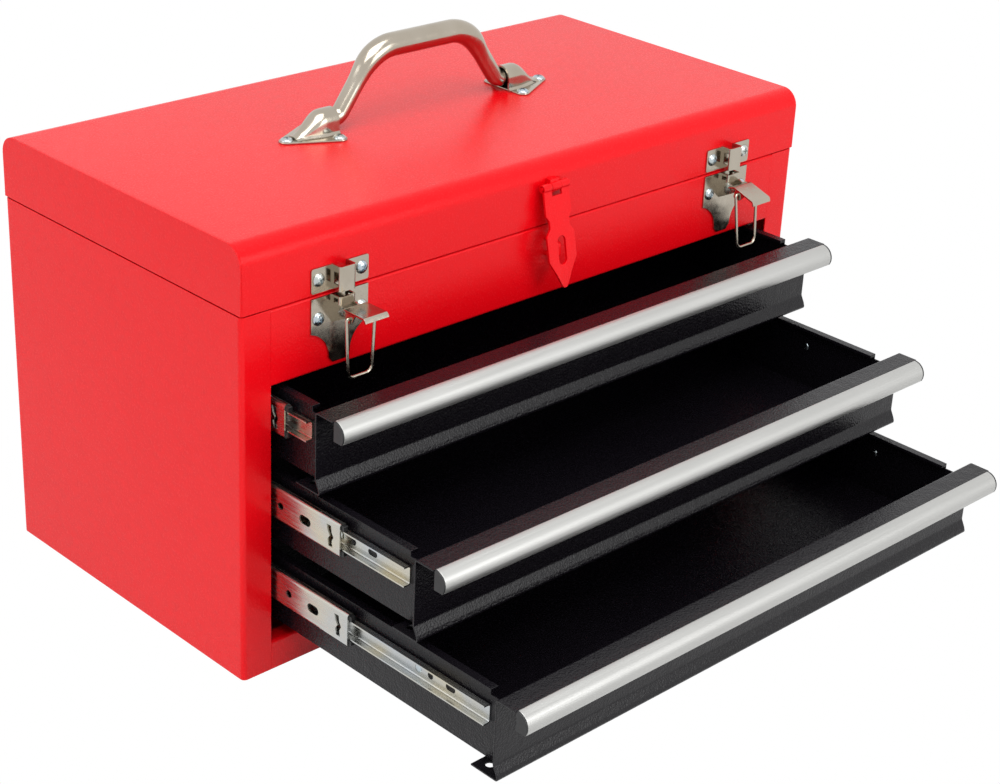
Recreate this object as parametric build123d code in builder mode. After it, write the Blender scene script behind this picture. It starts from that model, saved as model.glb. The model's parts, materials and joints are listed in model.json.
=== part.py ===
"""Portable steel tool box: a lidded top compartment over three drawers on ball-bearing slides.

Millimetres. +X runs along the width, the front faces -Y, +Z is up.
The origin is the centre of the cabinet's underside. The lid is shut, the three drawers stand
open by different amounts, both draw latches are released and the carry handle is upright.
"""
import os
from math import cos, radians, sin, sqrt

from build123d import *

os.makedirs("parts", exist_ok=True)

# ---------------------------------------------------------------- cabinet and lid
WIDTH = 520.0
DEPTH = 260.0
SEAM_Z = 258.0              # top edge of the cabinet
LID_GAP = 0.8               # dark seam between cabinet and lid
HEIGHT = 303.0              # top of the shut lid
SHEET = 1.2                 # folded steel sheet
CORNER_R = 3.5              # vertical corners of the cabinet
LID_EDGE_R = 13.0           # rolled long edges of the lid
BEND_R = 1.6                # middle line of the small bends
STILE_W = 23.0              # front stile beside the drawers
OPENING_BOTTOM = 21.3
OPENING_TOP = 206.0
FLANGE = 12.0               # turned-in edges
FRAME_FLANGE_TOP = 9.0

# ---------------------------------------------------------------- drawers
DRAWER_COUNT = 3
DRAWER_PITCH = 60.6
DRAWER_H = 57.5
FIRST_DRAWER_Z = 26.0       # underside of the lowest drawer
FRONT_GAP = 1.0             # each side of a drawer front in the opening
TRAY_H = 54.0
TRAY_RISE = 5.5             # tray floor above the lower edge of its front
TRAY_LENGTH = 240.0
HEM_W = 6.0
HEM_STOP = 13.0             # the hem ends this far behind the front
HEM_NOTCH = 4.0
OPEN_BY = (209.0, 135.7, 42.6)      # lowest drawer first
LIP_H = 13.0
LIP_OUT = 4.0
LIP_FLANGE = 12.0
PULL_REACH = 24.6           # how far the pull stands in front of the drawer front
PULL_BACK = 11.5
PULL_H = 14.0
PULL_FOOT = 3.2
PULL_R = 9.1                # round front of the pull
PULL_THROAT = 4.5
PULL_WALL = 1.6
PULL_INSET = 5.0            # pull and caps end inside the drawer front's ends
CAP_T = 2.6

# ---------------------------------------------------------------- ball-bearing slides
SLIDE_Z = 39.2              # slide centre above the drawer's underside
SLIDE_T = 10.1              # from upright to tray wall
SLIDE_SHEET = 1.0
OUTER_HALF = 14.0
MIDDLE_HALF = 12.4
INNER_HALF = 7.6
RUNNING_GAP = 0.5
OUTER_LIP = 8.6
MIDDLE_LIP = 5.2
INNER_LIP = 5.2
SLIDE_LENGTH = 240.0
MIDDLE_LENGTH = 236.0
SLIDE_INSET = 10.0          # behind the cabinet's or the drawer's front
MIDDLE_INSET = 8.0
MIDDLE_SHARE = (0.371, 0.508, 0.40)     # part of the drawer's travel that each middle member makes
UPRIGHT_W = 30.0
UPRIGHT_FOOT = 9.0
UPRIGHT_Y = 100.0
PAN_FLANGE = 12.0

# ---------------------------------------------------------------- rear hinge
HINGE_W = 440.0
HINGE_LEAF_H = 20.0
HINGE_LEAF_T = 1.2
HINGE_R = 2.8
HINGE_PIN_R = 1.2
HINGE_BORE_R = 1.5
HINGE_KNUCKLES = 9
HINGE_GAP = 0.4

# ---------------------------------------------------------------- draw latches
LATCH_X = 183.5
LATCH_SHEET = 1.2
LATCH_W = 46.0
HAT_W = 13.0
HAT_OUT = 9.0
SCREW_X = 17.3              # screws beside the hat
STRIKE_BOTTOM = 260.0
STRIKE_TOP = 276.6
STRIKE_SCREW_Z = 268.8
BASE_TOP = 256.6
BASE_SHOULDER_Z = 233.0
BASE_TIP_Z = 210.0
BASE_SCREW_Z = 242.5
TONGUE_W = 17.0
PIVOT_Y = 12.5              # lever pivot in front of the cabinet face
PIVOT_Z = 246.7
PIVOT_R = 1.3
LEVER_W = 19.0
LEVER_LENGTH = 22.0
LEVER_RISE = 3.4            # lever sheet above its pivot
LEVER_SHEET = 1.3
LEVER_CURL = 3.2
EAR_CLEAR = 0.35
BAIL_ARM = 8.84             # lever pivot to bail pivot
BAIL_ARM_TILT = 5.2
BAIL_LENGTH = 40.6
BAIL_HALF = 11.2
BAIL_WIRE_R = 1.1
BAIL_BEND_R = 4.5
BAIL_HOLE_R = 1.45
LEVER_DROP = {"left": 0.0, "right": 14.0}   # degrees that each lever hangs below the level one
BAIL_SWING = {"left": 0.0, "right": 14.0}   # degrees that each bail hangs forward

# ---------------------------------------------------------------- hasp
HASP_PIVOT_Y = 4.2          # in front of the lid face
HASP_PIVOT_Z = 286.5
HASP_OUT = 12.0             # degrees that the hasp stands out
HASP_T = 2.0
HASP_BARREL_R = 3.0
HASP_PIN_R = 1.4
HASP_BORE_R = 1.75
HASP_W = 26.0
HASP_TOP_W = 24.0
HASP_WAIST_W = 18.6
HASP_TIP_W = 8.0
HASP_LENGTH = 70.0
HASP_SLOT_W = 7.5
HASP_SLOT_H = 20.0
HASP_SLOT_AT = 44.0
HASP_WINDOW_H = 6.0
STAPLE_W = 4.0
STAPLE_H = 13.0
STAPLE_OUT = 12.0
STAPLE_FOOT_W = 12.0

# ---------------------------------------------------------------- carry handle
HANDLE_Y = 3.0
TUBE_R = 7.0
HANDLE_AXIS_UP = 9.4        # pivot above the lid
HANDLE_RISE = 41.5          # grip above the pivot
GRIP_HALF = 50.0            # to the corner of the bent tube
FOOT_HALF = 80.0
TUBE_END = 103.0
GRIP_BEND_R = 24.0
FOOT_BEND_R = 12.0
SADDLE_INNER = 86.0
SADDLE_OUTER = 106.0
SADDLE_WALL = 1.5
SADDLE_CLEAR = 0.35
PLATE_T = 1.5
PLATE_HALF = 17.6
PLATE_TIP_X = 121.0
PLATE_TIP_R = 5.5
BRACKET_SCREW_X = 91.0
BRACKET_SCREW_Y = 13.2

# ---------------------------------------------------------------- screws
SCREW_HEAD_R = 4.0
SCREW_HEAD_H = 2.2
SCREW_R = 1.9
SCREW_CLEAR = 0.25
SCREW_LENGTH = 6.0

FRONT = -DEPTH / 2
BACK = DEPTH / 2
LID_BOTTOM = SEAM_Z + LID_GAP
SIDES = {"left": -1, "right": 1}


def keep(part, name):
    """Give a finished piece its name and write it."""
    part.label = name
    export_step(part, f"parts/{name}.step")


def turned(y, z, pivot_y, pivot_z, degrees):
    """A point of the YZ plane turned about a pivot that lies along X."""
    angle = radians(degrees)
    dy = y - pivot_y
    dz = z - pivot_z
    return (pivot_y + dy * cos(angle) - dz * sin(angle),
            pivot_z + dy * sin(angle) + dz * cos(angle))


# ================================================================ cabinet
# One sheet wraps round the back and the sides and ends in the two front stiles.
opening_half = WIDTH / 2 - STILE_W
mid = SHEET / 2
with BuildPart() as cabinet_wrap:
    with BuildSketch(Plane.XY):
        with BuildLine():
            FilletPolyline(
                (-opening_half, FRONT + mid),
                (-WIDTH / 2 + mid, FRONT + mid),
                (-WIDTH / 2 + mid, BACK - mid),
                (WIDTH / 2 - mid, BACK - mid),
                (WIDTH / 2 - mid, FRONT + mid),
                (opening_half, FRONT + mid),
                radius=CORNER_R - mid,
            )
        trace(line_width=SHEET)
    extrude(amount=SEAM_Z)
keep(cabinet_wrap.part, "cabinet_wrap")

# The header closes the front above the drawers; its edges are turned in.
latch_screw_xs = [side * LATCH_X + dx for side in (-1, 1) for dx in (-SCREW_X, SCREW_X)]
with BuildPart() as front_header:
    with BuildSketch(Plane.YZ.offset(-opening_half)):
        with BuildLine():
            FilletPolyline(
                (FRONT + FRAME_FLANGE_TOP, SEAM_Z - mid),
                (FRONT + mid, SEAM_Z - mid),
                (FRONT + mid, OPENING_TOP + mid),
                (FRONT + FLANGE, OPENING_TOP + mid),
                radius=BEND_R,
            )
        trace(line_width=SHEET)
    extrude(amount=2 * opening_half)
    with BuildSketch(Plane.XZ.offset(-FRONT)):
        with Locations(*[(x, BASE_SCREW_Z) for x in latch_screw_xs]):
            Circle(SCREW_R + SCREW_CLEAR)
    extrude(amount=-2 * SHEET, mode=Mode.SUBTRACT)
keep(front_header.part, "front_header")

with BuildPart() as front_sill:
    with BuildSketch(Plane.YZ.offset(-opening_half)):
        with BuildLine():
            FilletPolyline(
                (FRONT + mid, 0),
                (FRONT + mid, OPENING_BOTTOM - mid),
                (FRONT + FLANGE, OPENING_BOTTOM - mid),
                radius=BEND_R,
            )
        trace(line_width=SHEET)
    extrude(amount=2 * opening_half)
keep(front_sill.part, "front_sill")

# The bottom pan and the floor of the top compartment are shallow pans with turned-up edges.
inner_w = WIDTH - 2 * SHEET
inner_d = DEPTH - 2 * SHEET
compartment_z = OPENING_TOP + SHEET


def shallow_pan(floor_z, flange, front_gap):
    """A sheet pan that fills the cabinet behind a gap at the front, with its edges turned up."""
    depth = inner_d - front_gap
    with BuildPart() as pan:
        with BuildSketch(Plane.XY.offset(floor_z)):
            with Locations((0, front_gap / 2)):
                RectangleRounded(inner_w, depth, CORNER_R - SHEET)
        extrude(amount=flange)
        with BuildSketch(Plane.XY.offset(floor_z + SHEET)):
            with Locations((0, front_gap / 2)):
                RectangleRounded(inner_w - 2 * SHEET, depth - 2 * SHEET, CORNER_R - 2 * SHEET)
        extrude(amount=flange - SHEET, mode=Mode.SUBTRACT)
    return pan.part


keep(shallow_pan(0, PAN_FLANGE, 0), "bottom_pan")
keep(shallow_pan(compartment_z, FLANGE, BEND_R), "compartment_floor")

# Four hat-section uprights fill the space behind the stiles and carry the slides.
slide_x = opening_half + 0.3
wall_x = WIDTH / 2 - SHEET
with BuildPart() as slide_uprights:
    with BuildSketch(Plane.XY.offset(PAN_FLANGE)):
        with BuildLine():
            FilletPolyline(
                (wall_x - mid, UPRIGHT_Y + UPRIGHT_W / 2 + UPRIGHT_FOOT),
                (wall_x - mid, UPRIGHT_Y + UPRIGHT_W / 2),
                (slide_x + mid, UPRIGHT_Y + UPRIGHT_W / 2),
                (slide_x + mid, UPRIGHT_Y - UPRIGHT_W / 2),
                (wall_x - mid, UPRIGHT_Y - UPRIGHT_W / 2),
                (wall_x - mid, UPRIGHT_Y - UPRIGHT_W / 2 - UPRIGHT_FOOT),
                radius=BEND_R,
            )
        trace(line_width=SHEET)
    extrude(amount=compartment_z - PAN_FLANGE)
    mirror(about=Plane.XZ)
    mirror(about=Plane.YZ)
keep(slide_uprights.part, "slide_uprights")


# ================================================================ slides
def channel(web_x, inward, half, lip, back_y, length, centre_z, curl=0.0):
    """A slide member: a web with two lips, which may curl in over the member that it holds."""
    sheet = SLIDE_SHEET
    with BuildPart() as member:
        with BuildSketch(Plane.XZ.offset(-back_y)):
            with Locations((web_x + inward * sheet / 2, centre_z)):
                Rectangle(sheet, 2 * half)
            with Locations((web_x + inward * lip / 2, centre_z + half - sheet / 2),
                           (web_x + inward * lip / 2, centre_z - half + sheet / 2)):
                Rectangle(lip, sheet)
            if curl > 0:
                curl_x = web_x + inward * (lip - sheet / 2)
                with Locations((curl_x, centre_z + half - curl / 2),
                               (curl_x, centre_z - half + curl / 2)):
                    Rectangle(sheet, curl)
        extrude(amount=length)
    return member.part


def punch(part, web_x, features):
    """Punch round holes and slots (y, z, length, height) through a member's web."""
    with BuildPart() as punched:
        add(part)
        for y, z, length, height in features:
            with BuildSketch(Plane.YZ.offset(web_x)):
                with Locations((y, z)):
                    if length > height:
                        SlotOverall(length, height)
                    else:
                        Circle(height / 2)
            extrude(amount=2 * SLIDE_SHEET, both=True, mode=Mode.SUBTRACT)
    return punched.part


middle_web_x = slide_x - 2.7
tray_x = slide_x - SLIDE_T
outer_front = FRONT + SLIDE_INSET
middle_curl = MIDDLE_HALF - INNER_HALF - RUNNING_GAP

for index in range(DRAWER_COUNT):
    name = f"drawer_{DRAWER_COUNT - index}"
    centre_z = FIRST_DRAWER_Z + index * DRAWER_PITCH + SLIDE_Z
    opened = OPEN_BY[index]
    middle_front = FRONT + MIDDLE_INSET - MIDDLE_SHARE[index] * opened
    inner_front = FRONT + SLIDE_INSET - opened
    for side_name, side in SIDES.items():
        outer = channel(side * slide_x, -side, OUTER_HALF, OUTER_LIP,
                        outer_front + SLIDE_LENGTH, SLIDE_LENGTH, centre_z)
        keep(outer, f"{name}_{side_name}_outer_rail")

        middle = channel(side * middle_web_x, -side, MIDDLE_HALF, MIDDLE_LIP,
                         middle_front + MIDDLE_LENGTH, MIDDLE_LENGTH, centre_z, middle_curl)
        middle = punch(middle, side * middle_web_x, [
            (middle_front + 16, centre_z, 3, 5),
            (middle_front + 32, centre_z, 12, 6),
            (middle_front + 60, centre_z, 18, 6),
            (middle_front + MIDDLE_LENGTH - 20, centre_z, 3, 5),
        ])
        keep(middle, f"{name}_{side_name}_middle_rail")

        inner = channel(side * tray_x, side, INNER_HALF, INNER_LIP,
                        inner_front + SLIDE_LENGTH, SLIDE_LENGTH, centre_z)
        inner = punch(inner, side * tray_x, [
            (inner_front + 22, centre_z, 9, 4.6),
            (inner_front + 50, centre_z, 3, 4.6),
            (inner_front + 100, centre_z, 26, 5),
            (inner_front + 190, centre_z, 9, 4.6),
        ])
        keep(inner, f"{name}_{side_name}_inner_rail")

# ================================================================ drawers
front_half = opening_half - FRONT_GAP
pull_half = front_half - PULL_INSET


def pull_outline(face_y, top_z):
    """Points of the pull's section: a flat top, a round front and a short foot."""
    centre_y = face_y - PULL_REACH + PULL_R
    centre_z = top_z - PULL_R
    foot_drop = PULL_H - PULL_R
    foot_y = centre_y - sqrt(PULL_R ** 2 - foot_drop ** 2)
    return {
        "top_back": (face_y - PULL_BACK, top_z),
        "top_front": (centre_y, top_z),
        "bulge": (centre_y - PULL_R * cos(radians(30)), centre_z + PULL_R * sin(radians(30))),
        "foot_front": (foot_y, top_z - PULL_H),
        "foot_back": (foot_y + PULL_FOOT, top_z - PULL_H),
        "under": (face_y - PULL_BACK, top_z - PULL_THROAT),
    }


for index in range(DRAWER_COUNT):
    name = f"drawer_{DRAWER_COUNT - index}"
    low_z = FIRST_DRAWER_Z + index * DRAWER_PITCH
    top_z = low_z + DRAWER_H
    face_y = FRONT - OPEN_BY[index]
    tray_front = face_y + SHEET
    tray_back = tray_front + TRAY_LENGTH
    floor_z = low_z + TRAY_RISE
    rim_z = low_z + TRAY_H

    # The tray is folded from one sheet; its side and back walls end in flattened hems.
    with BuildPart() as tray:
        with BuildSketch(Plane.XY.offset(floor_z)):
            with Locations((0, (tray_front + tray_back) / 2)):
                Rectangle(2 * tray_x, TRAY_LENGTH)
        extrude(amount=rim_z - floor_z)
        with BuildSketch(Plane.XY.offset(floor_z + SHEET)):
            with Locations((0, tray_front + (TRAY_LENGTH - SHEET) / 2)):
                Rectangle(2 * tray_x - 2 * SHEET, TRAY_LENGTH - SHEET)
        extrude(amount=rim_z - floor_z, mode=Mode.SUBTRACT)
        hem_x = tray_x - SHEET - (HEM_W - SHEET) / 2
        hem_length = TRAY_LENGTH - HEM_STOP
        with BuildSketch(Plane.XY.offset(rim_z - 2 * SHEET)):
            with Locations((hem_x, tray_back - hem_length / 2), (-hem_x, tray_back - hem_length / 2)):
                Rectangle(HEM_W - SHEET, hem_length)
            with Locations((0, tray_back - HEM_W / 2)):
                Rectangle(2 * tray_x - 2 * SHEET, HEM_W)
        extrude(amount=2 * SHEET)
        with BuildSketch(Plane.XY.offset(rim_z - HEM_NOTCH)):
            with Locations((0, tray_front + HEM_STOP / 2)):
                Rectangle(2 * tray_x, HEM_STOP)
        extrude(amount=HEM_NOTCH, mode=Mode.SUBTRACT)
        edges_up = tray.edges().filter_by(Axis.Z).group_by(Axis.Y)[-1]
        fillet(edges_up, radius=2.0)
    keep(tray.part, f"{name}_tray")

    # The front is one folded strip: a flange out to the pull, the face, a flared lip and a return.
    with BuildPart() as front_panel:
        with BuildSketch(Plane.YZ.offset(-front_half)):
            with BuildLine():
                path = FilletPolyline(
                    (face_y - PULL_BACK, top_z - 2 * mid),
                    (face_y + mid, top_z - 2 * mid),
                    (face_y + mid, low_z + LIP_H),
                    (face_y - LIP_OUT * 0.45, low_z + LIP_H * 0.45),
                    (face_y - LIP_OUT + mid, low_z + mid),
                    (face_y + LIP_FLANGE, low_z + mid),
                    radius=BEND_R,
                )
            trace(line_width=SHEET)
        extrude(amount=2 * front_half)
        with BuildSketch(Plane.XY.offset(low_z)):
            with Locations((-front_half + 9, face_y + 5), (front_half - 9, face_y + 5)):
                Circle(2.2)
        extrude(amount=SHEET, mode=Mode.SUBTRACT)
    keep(front_panel.part, f"{name}_front")

    # The aluminium pull is a hollow extrusion along nearly the whole front, with a cap at each end.
    outline = pull_outline(face_y, top_z)
    with BuildSketch(Plane.YZ) as pull_face:
        with BuildLine():
            Line(outline["top_back"], outline["top_front"])
            ThreePointArc(outline["top_front"], outline["bulge"], outline["foot_front"])
            Polyline(outline["foot_front"], outline["foot_back"], outline["under"], outline["top_back"])
        make_face()
    with BuildPart() as pull:
        with BuildSketch(Plane.YZ.offset(-pull_half)):
            add(pull_face.sketch_local)
            offset(amount=-PULL_WALL, kind=Kind.INTERSECTION, mode=Mode.SUBTRACT)
        extrude(amount=2 * pull_half)
    keep(pull.part, f"{name}_pull")

    with BuildPart() as caps:
        for start in (-pull_half - CAP_T, pull_half):
            with BuildSketch(Plane.YZ.offset(start)):
                add(pull_face.sketch_local)
            extrude(amount=CAP_T)
    keep(caps.part, f"{name}_pull_caps")

# ================================================================ lid
lid_mid = LID_EDGE_R - mid
with BuildPart() as lid_wrap:
    with BuildSketch(Plane.YZ.offset(-WIDTH / 2 + SHEET)):
        with BuildLine():
            FilletPolyline(
                (FRONT + mid, LID_BOTTOM),
                (FRONT + mid, HEIGHT - mid),
                (BACK - mid, HEIGHT - mid),
                (BACK - mid, LID_BOTTOM),
                radius=lid_mid,
            )
        trace(line_width=SHEET)
    extrude(amount=WIDTH - 2 * SHEET)
    with BuildSketch(Plane.XZ.offset(-FRONT)):
        with Locations(*[(x, STRIKE_SCREW_Z) for x in latch_screw_xs]):
            Circle(SCREW_R + SCREW_CLEAR)
    extrude(amount=-2 * SHEET, mode=Mode.SUBTRACT)
    with BuildSketch(Plane.XY.offset(HEIGHT)):
        for side in (-1, 1):
            with Locations((side * BRACKET_SCREW_X, HANDLE_Y - BRACKET_SCREW_Y),
                           (side * BRACKET_SCREW_X, HANDLE_Y + BRACKET_SCREW_Y),
                           (side * PLATE_TIP_X, HANDLE_Y)):
                Circle(SCREW_R + SCREW_CLEAR)
    extrude(amount=-2 * SHEET, mode=Mode.SUBTRACT)
keep(lid_wrap.part, "lid_wrap")

with BuildPart() as lid_ends:
    for start in (-WIDTH / 2, WIDTH / 2 - SHEET):
        with BuildSketch(Plane.YZ.offset(start)):
            with BuildLine():
                FilletPolyline(
                    (FRONT, LID_BOTTOM),
                    (FRONT, HEIGHT),
                    (BACK, HEIGHT),
                    (BACK, LID_BOTTOM),
                    radius=LID_EDGE_R,
                )
                Line((BACK, LID_BOTTOM), (FRONT, LID_BOTTOM))
            make_face()
        extrude(amount=SHEET)
keep(lid_ends.part, "lid_ends")

# ================================================================ rear hinge
hinge_y = BACK + HINGE_R
hinge_z = SEAM_Z + LID_GAP / 2
knuckle_pitch = HINGE_W / HINGE_KNUCKLES
leaf_start = HINGE_R + HINGE_GAP    # the leaves clear each other's knuckles


def hinge_leaf(upward, first):
    """One leaf of the rear hinge with every second knuckle of the barrel."""
    with BuildPart() as leaf:
        with BuildSketch(Plane.XZ.offset(-BACK - HINGE_LEAF_T)):
            with Locations((0, hinge_z + upward * (leaf_start + HINGE_LEAF_H / 2))):
                Rectangle(HINGE_W, HINGE_LEAF_H)
        extrude(amount=HINGE_LEAF_T)
        for number in range(first, HINGE_KNUCKLES, 2):
            start = -HINGE_W / 2 + number * knuckle_pitch + HINGE_GAP / 2
            with BuildSketch(Plane.YZ.offset(start)):
                with Locations((hinge_y, hinge_z)):
                    Circle(HINGE_R)
                with Locations((BACK + HINGE_LEAF_T / 2, hinge_z + upward * leaf_start / 2)):
                    Rectangle(HINGE_LEAF_T, leaf_start)
                with Locations((hinge_y, hinge_z)):
                    Circle(HINGE_BORE_R, mode=Mode.SUBTRACT)
            extrude(amount=knuckle_pitch - HINGE_GAP)
    return leaf.part


keep(hinge_leaf(-1, 0), "hinge_cabinet_leaf")
keep(hinge_leaf(1, 1), "hinge_lid_leaf")

with BuildPart() as hinge_pin:
    with BuildSketch(Plane.YZ.offset(-HINGE_W / 2)):
        with Locations((hinge_y, hinge_z)):
            Circle(HINGE_PIN_R)
    extrude(amount=HINGE_W)
keep(hinge_pin.part, "hinge_pin")


# ================================================================ screws
def domed_screw(plane):
    """A pan-head screw with its head on the plane and its shank going back through the sheet."""
    with BuildPart() as screw:
        with BuildSketch(plane):
            Circle(SCREW_HEAD_R)
        extrude(amount=SCREW_HEAD_H)
        crown = screw.faces().sort_by(Axis(plane.origin, plane.z_dir))[-1]
        fillet(crown.edges(), radius=SCREW_HEAD_H * 0.7)
        with BuildSketch(plane):
            Circle(SCREW_R)
        extrude(amount=-SCREW_LENGTH)
    return screw.part


# ================================================================ draw latches
plate_front = FRONT - LATCH_SHEET
hat_front = FRONT - HAT_OUT
pivot_y = FRONT - PIVOT_Y


def punched_hat(centre_x, low_z, high_z):
    """The raised middle of a latch plate: a channel with a window in each side."""
    with BuildPart() as hat:
        with BuildSketch(Plane.XY.offset(low_z)):
            with BuildLine():
                FilletPolyline(
                    (centre_x - HAT_W / 2 + LATCH_SHEET / 2, plate_front),
                    (centre_x - HAT_W / 2 + LATCH_SHEET / 2, hat_front + LATCH_SHEET / 2),
                    (centre_x + HAT_W / 2 - LATCH_SHEET / 2, hat_front + LATCH_SHEET / 2),
                    (centre_x + HAT_W / 2 - LATCH_SHEET / 2, plate_front),
                    radius=1.2,
                )
            trace(line_width=LATCH_SHEET)
        extrude(amount=high_z - low_z)
        with BuildSketch(Plane.YZ.offset(centre_x - HAT_W)):
            with Locations(((plate_front + hat_front) / 2, (low_z + high_z) / 2)):
                Rectangle(4.4, (high_z - low_z) * 0.5)
        extrude(amount=2 * HAT_W, mode=Mode.SUBTRACT)
    return hat.part


for side_name, side in SIDES.items():
    centre_x = side * LATCH_X

    with BuildPart() as strike:
        with BuildSketch(Plane.XZ.offset(-FRONT)):
            with Locations((centre_x, (STRIKE_BOTTOM + STRIKE_TOP) / 2)):
                RectangleRounded(LATCH_W, STRIKE_TOP - STRIKE_BOTTOM, 1.5)
            with Locations((centre_x, STRIKE_TOP)):
                Rectangle(HAT_W - 2 * LATCH_SHEET, 8, mode=Mode.SUBTRACT)
            with Locations((centre_x - SCREW_X, STRIKE_SCREW_Z), (centre_x + SCREW_X, STRIKE_SCREW_Z)):
                Circle(SCREW_R + SCREW_CLEAR, mode=Mode.SUBTRACT)
        extrude(amount=LATCH_SHEET)
        add(punched_hat(centre_x, STRIKE_BOTTOM, STRIKE_TOP))
    keep(strike.part, f"{side_name}_latch_strike")

    with BuildPart() as base:
        with BuildSketch(Plane.XZ.offset(-FRONT)):
            with BuildLine():
                half = LATCH_W / 2
                tip = TONGUE_W / 2
                Polyline(
                    (centre_x - tip, BASE_TIP_Z + 4),
                    (centre_x - tip + 3, BASE_TIP_Z),
                    (centre_x + tip - 3, BASE_TIP_Z),
                    (centre_x + tip, BASE_TIP_Z + 4),
                )
                ThreePointArc(
                    (centre_x + tip, BASE_TIP_Z + 4),
                    (centre_x + tip + 3.6, BASE_SHOULDER_Z - 7.5),
                    (centre_x + half, BASE_SHOULDER_Z),
                )
                Polyline(
                    (centre_x + half, BASE_SHOULDER_Z),
                    (centre_x + half, BASE_TOP),
                    (centre_x - half, BASE_TOP),
                    (centre_x - half, BASE_SHOULDER_Z),
                )
                ThreePointArc(
                    (centre_x - half, BASE_SHOULDER_Z),
                    (centre_x - tip - 3.6, BASE_SHOULDER_Z - 7.5),
                    (centre_x - tip, BASE_TIP_Z + 4),
                )
            make_face()
            with Locations((centre_x - SCREW_X, BASE_SCREW_Z), (centre_x + SCREW_X, BASE_SCREW_Z)):
                Circle(SCREW_R + SCREW_CLEAR, mode=Mode.SUBTRACT)
        extrude(amount=LATCH_SHEET)
        add(punched_hat(centre_x, PIVOT_Z + 3.5, BASE_TOP))
        # Two ears carry the lever's pin.
        for ear in (-1, 1):
            with BuildSketch(Plane.YZ.offset(centre_x + ear * (HAT_W / 2 - LATCH_SHEET / 2))):
                with BuildLine():
                    Polyline(
                        (plate_front, PIVOT_Z + 4.5),
                        (plate_front, PIVOT_Z - 9),
                        (pivot_y - 1, PIVOT_Z - 2.6),
                        (pivot_y - 2.6, PIVOT_Z),
                        (pivot_y - 1, PIVOT_Z + 2.6),
                        (hat_front, PIVOT_Z + 4.5),
                        (plate_front, PIVOT_Z + 4.5),
                    )
                make_face()
                with Locations((pivot_y, PIVOT_Z)):
                    Circle(PIVOT_R, mode=Mode.SUBTRACT)
            extrude(amount=LATCH_SHEET / 2, both=True)
    keep(base.part, f"{side_name}_latch_base")

    with BuildPart() as lever_pin:
        with BuildSketch(Plane.YZ.offset(centre_x)):
            with Locations((pivot_y, PIVOT_Z)):
                Circle(PIVOT_R)
        extrude(amount=HAT_W / 2 + 0.6, both=True)
    keep(lever_pin.part, f"{side_name}_lever_pin")

    # Lever: a curled root round the pin, a broad leaf with a curled lip, and two side ears.
    root_half = HAT_W / 2 - LATCH_SHEET - EAR_CLEAR
    drop = LEVER_DROP[side_name]
    bail_point = turned(pivot_y - BAIL_ARM * cos(radians(BAIL_ARM_TILT)),
                        PIVOT_Z + BAIL_ARM * sin(radians(BAIL_ARM_TILT)), pivot_y, PIVOT_Z, drop)
    leaf_points = [
        (pivot_y, PIVOT_Z + 2.1),
        (pivot_y - 4, PIVOT_Z + LEVER_RISE),
        (pivot_y - LEVER_LENGTH, PIVOT_Z + LEVER_RISE),
        (pivot_y - LEVER_LENGTH - LEVER_CURL, PIVOT_Z + LEVER_RISE + 0.8),
        (pivot_y - LEVER_LENGTH - LEVER_CURL - 0.6, PIVOT_Z + LEVER_RISE - LEVER_CURL),
    ]
    leaf_points = [turned(y, z, pivot_y, PIVOT_Z, drop) for y, z in leaf_points]
    with BuildPart() as lever:
        with BuildSketch(Plane.YZ.offset(centre_x)):
            with BuildLine():
                FilletPolyline(*leaf_points, radius=0.9)
            trace(line_width=LEVER_SHEET)
        extrude(amount=LEVER_W / 2, both=True)
        # Only the narrow root passes between the ears of the base.
        ear_front = turned(pivot_y - 4.6, PIVOT_Z, pivot_y, PIVOT_Z, 0)[0]
        with BuildSketch(Plane.XY.offset(PIVOT_Z - 12)):
            for cut in (-1, 1):
                with Locations((centre_x + cut * (root_half + 6), ear_front + 6)):
                    Rectangle(12, 12)
        extrude(amount=24, mode=Mode.SUBTRACT)
        with BuildSketch(Plane.YZ.offset(centre_x)):
            with Locations((pivot_y, PIVOT_Z)):
                Circle(PIVOT_R + 1.4)
                Circle(PIVOT_R + EAR_CLEAR, mode=Mode.SUBTRACT)
        extrude(amount=root_half, both=True)
        for ear in (-1, 1):
            ear_x = centre_x + ear * (LEVER_W / 2 - LEVER_SHEET / 2)
            ear_points = [
                (pivot_y - 5.2, PIVOT_Z + LEVER_RISE),
                (pivot_y - 6.0, PIVOT_Z - 1.2),
                (pivot_y - 8.8, PIVOT_Z - 2.4),
                (pivot_y - 11.6, PIVOT_Z - 1.2),
                (pivot_y - 15.5, PIVOT_Z + LEVER_RISE),
            ]
            with BuildSketch(Plane.YZ.offset(ear_x)):
                with BuildLine():
                    Polyline(*[turned(y, z, pivot_y, PIVOT_Z, drop) for y, z in ear_points], close=True)
                make_face()
                with Locations(bail_point):
                    Circle(BAIL_HOLE_R, mode=Mode.SUBTRACT)
            extrude(amount=LEVER_SHEET / 2, both=True)
    keep(lever.part, f"{side_name}_latch_lever")

    # Bail: one wire loop, its two ends turned in through the lever's ears.
    swing = BAIL_SWING[side_name]
    loop_plane = Plane(origin=(centre_x, bail_point[0], bail_point[1]), x_dir=(1, 0, 0),
                       z_dir=(0, -cos(radians(swing)), sin(radians(swing))))
    stub = LEVER_W / 2 - LEVER_SHEET - 0.8
    with BuildPart() as bail:
        with BuildLine(loop_plane) as bail_path:
            FilletPolyline(
                (-stub, 0),
                (-BAIL_HALF, 0),
                (-BAIL_HALF, -BAIL_LENGTH),
                (BAIL_HALF, -BAIL_LENGTH),
                (BAIL_HALF, 0),
                (stub, 0),
                radius=[1.5, BAIL_BEND_R, BAIL_BEND_R, 1.5],
            )
        with BuildSketch(Plane(origin=bail_path.line @ 0, z_dir=bail_path.line % 0)):
            Circle(BAIL_WIRE_R)
        sweep()
    keep(bail.part, f"{side_name}_latch_bail")

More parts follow.
